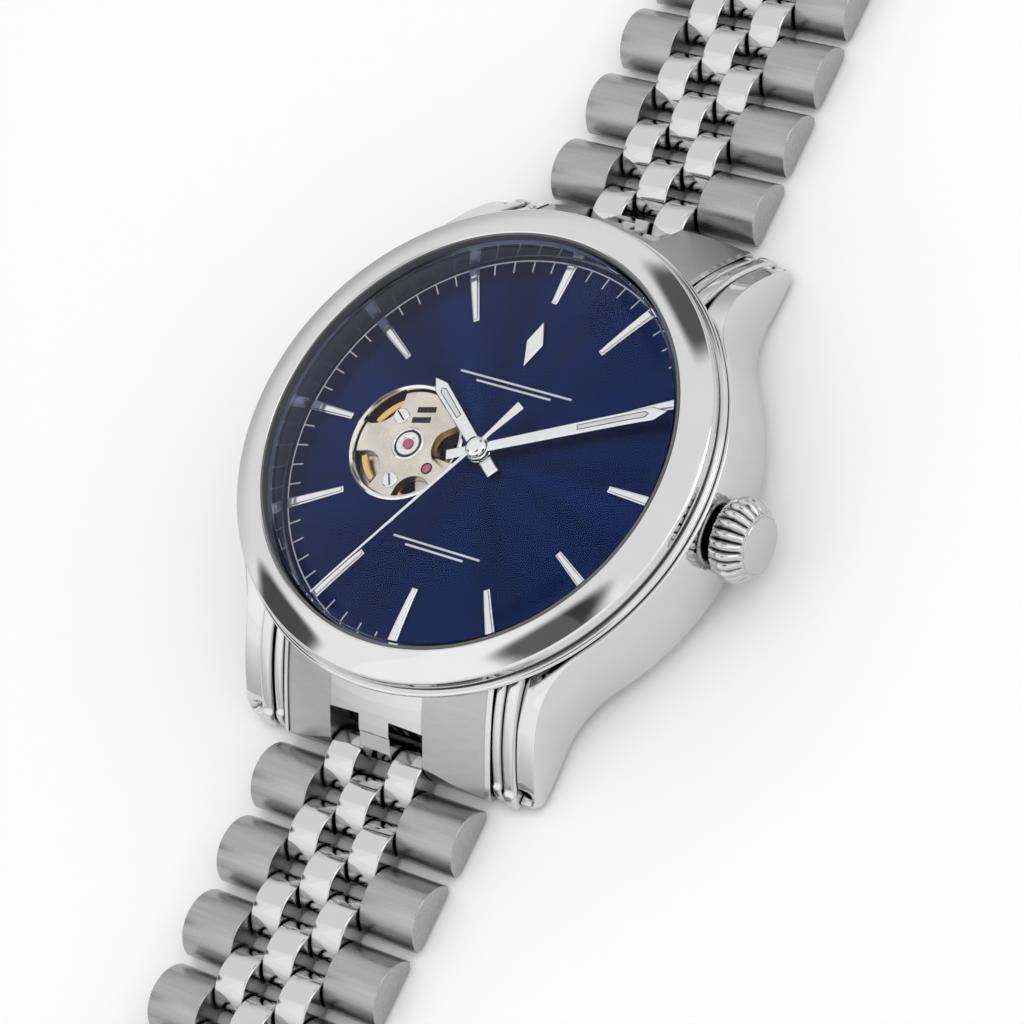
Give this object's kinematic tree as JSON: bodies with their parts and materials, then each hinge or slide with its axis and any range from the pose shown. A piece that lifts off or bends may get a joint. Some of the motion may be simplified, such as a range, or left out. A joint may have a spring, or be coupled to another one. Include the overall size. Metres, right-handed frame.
{
  "type": "open-heart wristwatch",
  "caption": "Automatic wristwatch with a dial aperture over the balance, domed crystal, lugged round case and a hinged five-column link bracelet with a folding clasp.",
  "frame": {"origin": "on the case axis in the flat plane of the case back, which the watch rests on", "axes": "+Z from the case back to the crystal, +Y towards 12 o'clock along the bracelet, +X towards 3 o'clock and the crown"},
  "size_m": [0.0462, 0.1784, 0.012],
  "materials": {
    "polished_steel": "mirror polished stainless steel",
    "case_back_steel": "fine circular brushing",
    "crystal_glass": "clear domed crystal",
    "rehaut_metal": "dark glossy metal",
    "stem_steel": "turned steel",
    "gilt_brass": "gilt, fine circular grain",
    "blue_dial": "deep blue sunray lacquer",
    "white_print": "fine white print",
    "applied_rhodium": "bright faceted plating",
    "movement_nickel": "matte champagne nickel with fine grain",
    "blued_steel": "heat-blued steel",
    "ruby": "polished ruby",
    "brushed_steel": "brushed across the bracelet, polished intermediate links",
    "clasp_steel": "fine straight brushing"
  },
  "bodies": {
    "case": {"case_middle": "polished_steel", "bezel": "polished_steel", "crystal": "crystal_glass", "rehaut_ring": "rehaut_metal", "case_back": "case_back_steel", "case_back_glass": "crystal_glass", "dial": "blue_dial", "minute_track": "white_print", "aperture_ring": "applied_rhodium", "hour_markers": "applied_rhodium", "movement_ring": "movement_nickel", "main_plate": "movement_nickel", "train_bridge": "movement_nickel", "balance_bridge": "movement_nickel", "rotor_bearing": "stem_steel", "jewels": "ruby", "movement_screws": "blued_steel", "end_link_12": "brushed_steel", "end_link_6": "brushed_steel", "spring_bars": "stem_steel"},
    "seconds": {"seconds_hand": "applied_rhodium", "fourth_wheel": "gilt_brass"},
    "minutes": {"minute_hand": "applied_rhodium", "center_wheel": "gilt_brass"},
    "hours": {"hour_hand": "applied_rhodium", "hour_wheel": "gilt_brass"},
    "motion_wheel": {"minute_wheel": "gilt_brass"},
    "third": {"third_wheel": "gilt_brass"},
    "escapement": {"escape_wheel": "movement_nickel"},
    "fork": {"pallet_fork": "movement_nickel"},
    "balance": {"balance_wheel": "gilt_brass", "hairspring": "blued_steel"},
    "barrel_body": {"barrel": "gilt_brass"},
    "rotor_body": {"rotor": "movement_nickel"},
    "keyless": {"winding_pinion": "gilt_brass"},
    "crown_body": {"crown": "polished_steel", "winding_stem": "stem_steel"},
    "unit_12_1": {"link_12_1": "brushed_steel"},
    "unit_12_2": {"link_12_2": "brushed_steel"},
    "unit_12_3": {"link_12_3": "brushed_steel"},
    "unit_12_4": {"link_12_4": "brushed_steel"},
    "unit_12_5": {"link_12_5": "brushed_steel"},
    "unit_12_6": {"link_12_6": "brushed_steel"},
    "unit_12_7": {"link_12_7": "brushed_steel"},
    "unit_12_8": {"link_12_8": "brushed_steel"},
    "unit_6_1": {"link_6_1": "brushed_steel"},
    "unit_6_2": {"link_6_2": "brushed_steel"},
    "unit_6_3": {"link_6_3": "brushed_steel"},
    "unit_6_4": {"link_6_4": "brushed_steel"},
    "unit_6_5": {"link_6_5": "brushed_steel"},
    "unit_6_6": {"link_6_6": "brushed_steel"},
    "unit_6_7": {"link_6_7": "brushed_steel"},
    "unit_6_8": {"link_6_8": "brushed_steel"},
    "clasp": {"clasp_cover": "brushed_steel"},
    "blade_outer": {"clasp_blade_outer": "clasp_steel"},
    "blade_inner": {"clasp_blade_inner": "clasp_steel"},
    "pusher_right": {"clasp_pusher_right": "brushed_steel"},
    "pusher_left": {"clasp_pusher_left": "brushed_steel"}
  },
  "joints": [
    {"name": "seconds_turn", "type": "hinge", "parent": "case", "child": "seconds", "pos_m": [0, 0, 0.0076], "axis": [0, 0, -1], "continuous": true},
    {"name": "minutes_turn", "type": "hinge", "parent": "case", "child": "minutes", "pos_m": [0, 0, 0.0076], "axis": [0, 0, -1], "continuous": true},
    {"name": "hours_turn", "type": "hinge", "parent": "case", "child": "hours", "pos_m": [0, 0, 0.0076], "axis": [0, 0, -1], "continuous": true},
    {"name": "motion_wheel_turn", "type": "hinge", "parent": "case", "child": "motion_wheel", "pos_m": [0.00271, 0.00098, 0.0066], "axis": [0, 0, -1], "continuous": true},
    {"name": "third_turn", "type": "hinge", "parent": "case", "child": "third", "pos_m": [-0.00071, 0.00505, 0.004], "axis": [0, 0, -1], "continuous": true},
    {"name": "escapement_turn", "type": "hinge", "parent": "case", "child": "escapement", "pos_m": [-0.00224, -0.00359, 0.004], "axis": [0, 0, -1], "continuous": true},
    {"name": "barrel_turn", "type": "hinge", "parent": "case", "child": "barrel_body", "pos_m": [0.00496, -0.0031, 0.0045], "axis": [0, 0, -1], "continuous": true},
    {"name": "fork_rock", "type": "hinge", "parent": "case", "child": "fork", "pos_m": [-0.00437, -0.00237, 0.0041], "axis": [0, 0, 1], "range_deg": [-6, 6]},
    {"name": "balance_swing", "type": "hinge", "parent": "case", "child": "balance", "pos_m": [-0.0071, -0.0008, 0.0045], "axis": [0, 0, 1], "range_deg": [-270, 270], "stiffness_Nm_per_rad": 0.0000002},
    {"name": "rotor_swing", "type": "hinge", "parent": "case", "child": "rotor_body", "pos_m": [0, 0, 0.0023], "axis": [0, 0, 1], "continuous": true},
    {"name": "crown_turn", "type": "hinge", "parent": "case", "child": "keyless", "pos_m": [0.0115, 0, 0.0047], "axis": [1, 0, 0], "continuous": true},
    {"name": "crown_pull", "type": "slide", "parent": "keyless", "child": "crown_body", "axis": [1, 0, 0], "range_m": [0, 0.0012]},
    {"name": "hinge_12_1", "type": "hinge", "parent": "case", "child": "unit_12_1", "pos_m": [0, 0.02335, 0.00135], "axis": [-1, 0, 0], "range_deg": [-8, 22]},
    {"name": "hinge_12_2", "type": "hinge", "parent": "unit_12_1", "child": "unit_12_2", "pos_m": [0, 0.0298, 0.00135], "axis": [-1, 0, 0], "range_deg": [-8, 22]},
    {"name": "hinge_12_3", "type": "hinge", "parent": "unit_12_2", "child": "unit_12_3", "pos_m": [0, 0.03625, 0.00135], "axis": [-1, 0, 0], "range_deg": [-8, 22]},
    {"name": "hinge_12_4", "type": "hinge", "parent": "unit_12_3", "child": "unit_12_4", "pos_m": [0, 0.0427, 0.00135], "axis": [-1, 0, 0], "range_deg": [-8, 22]},
    {"name": "hinge_12_5", "type": "hinge", "parent": "unit_12_4", "child": "unit_12_5", "pos_m": [0, 0.04915, 0.00135], "axis": [-1, 0, 0], "range_deg": [-8, 22]},
    {"name": "hinge_12_6", "type": "hinge", "parent": "unit_12_5", "child": "unit_12_6", "pos_m": [0, 0.0556, 0.00135], "axis": [-1, 0, 0], "range_deg": [-8, 22]},
    {"name": "hinge_12_7", "type": "hinge", "parent": "unit_12_6", "child": "unit_12_7", "pos_m": [0, 0.06205, 0.00135], "axis": [-1, 0, 0], "range_deg": [-8, 22]},
    {"name": "hinge_12_8", "type": "hinge", "parent": "unit_12_7", "child": "unit_12_8", "pos_m": [0, 0.0685, 0.00135], "axis": [-1, 0, 0], "range_deg": [-8, 22]},
    {"name": "hinge_6_1", "type": "hinge", "parent": "case", "child": "unit_6_1", "pos_m": [0, -0.02335, 0.00135], "axis": [1, 0, 0], "range_deg": [-8, 22]},
    {"name": "hinge_6_2", "type": "hinge", "parent": "unit_6_1", "child": "unit_6_2", "pos_m": [0, -0.0298, 0.00135], "axis": [1, 0, 0], "range_deg": [-8, 22]},
    {"name": "hinge_6_3", "type": "hinge", "parent": "unit_6_2", "child": "unit_6_3", "pos_m": [0, -0.03625, 0.00135], "axis": [1, 0, 0], "range_deg": [-8, 22]},
    {"name": "hinge_6_4", "type": "hinge", "parent": "unit_6_3", "child": "unit_6_4", "pos_m": [0, -0.0427, 0.00135], "axis": [1, 0, 0], "range_deg": [-8, 22]},
    {"name": "hinge_6_5", "type": "hinge", "parent": "unit_6_4", "child": "unit_6_5", "pos_m": [0, -0.04915, 0.00135], "axis": [1, 0, 0], "range_deg": [-8, 22]},
    {"name": "hinge_6_6", "type": "hinge", "parent": "unit_6_5", "child": "unit_6_6", "pos_m": [0, -0.0556, 0.00135], "axis": [1, 0, 0], "range_deg": [-8, 22]},
    {"name": "hinge_6_7", "type": "hinge", "parent": "unit_6_6", "child": "unit_6_7", "pos_m": [0, -0.06205, 0.00135], "axis": [1, 0, 0], "range_deg": [-8, 22]},
    {"name": "hinge_6_8", "type": "hinge", "parent": "unit_6_7", "child": "unit_6_8", "pos_m": [0, -0.0685, 0.00135], "axis": [1, 0, 0], "range_deg": [-8, 22]},
    {"name": "clasp_hinge", "type": "hinge", "parent": "unit_12_8", "child": "clasp", "pos_m": [0, 0.07495, 0.00135], "axis": [-1, 0, 0], "range_deg": [-8, 22]},
    {"name": "clasp_outer_fold", "type": "hinge", "parent": "clasp", "child": "blade_outer", "pos_m": [0, 0.09875, 0.0017], "axis": [-1, 0, 0], "range_deg": [-165, 0]},
    {"name": "clasp_inner_fold", "type": "hinge", "parent": "blade_outer", "child": "blade_inner", "pos_m": [0, 0.07915, 0.00095], "axis": [1, 0, 0], "range_deg": [-165, 0]},
    {"name": "pusher_right_press", "type": "slide", "parent": "clasp", "child": "pusher_right", "axis": [-1, 0, 0], "range_m": [0, 0.0004], "stiffness_N_per_m": 200},
    {"name": "pusher_left_press", "type": "slide", "parent": "clasp", "child": "pusher_left", "axis": [1, 0, 0], "range_m": [0, 0.0004], "stiffness_N_per_m": 200}
  ],
  "couplings": [
    {"joint": "minutes_turn", "follows": "seconds_turn", "ratio": 0.016667},
    {"joint": "hours_turn", "follows": "seconds_turn", "ratio": 0.0013889},
    {"joint": "motion_wheel_turn", "follows": "seconds_turn", "ratio": -0.0055556},
    {"joint": "third_turn", "follows": "seconds_turn", "ratio": -0.13333},
    {"joint": "escapement_turn", "follows": "seconds_turn", "ratio": -10},
    {"joint": "barrel_turn", "follows": "seconds_turn", "ratio": -0.0025641},
    {"joint": "clasp_inner_fold", "follows": "clasp_outer_fold", "ratio": 1}
  ]
}
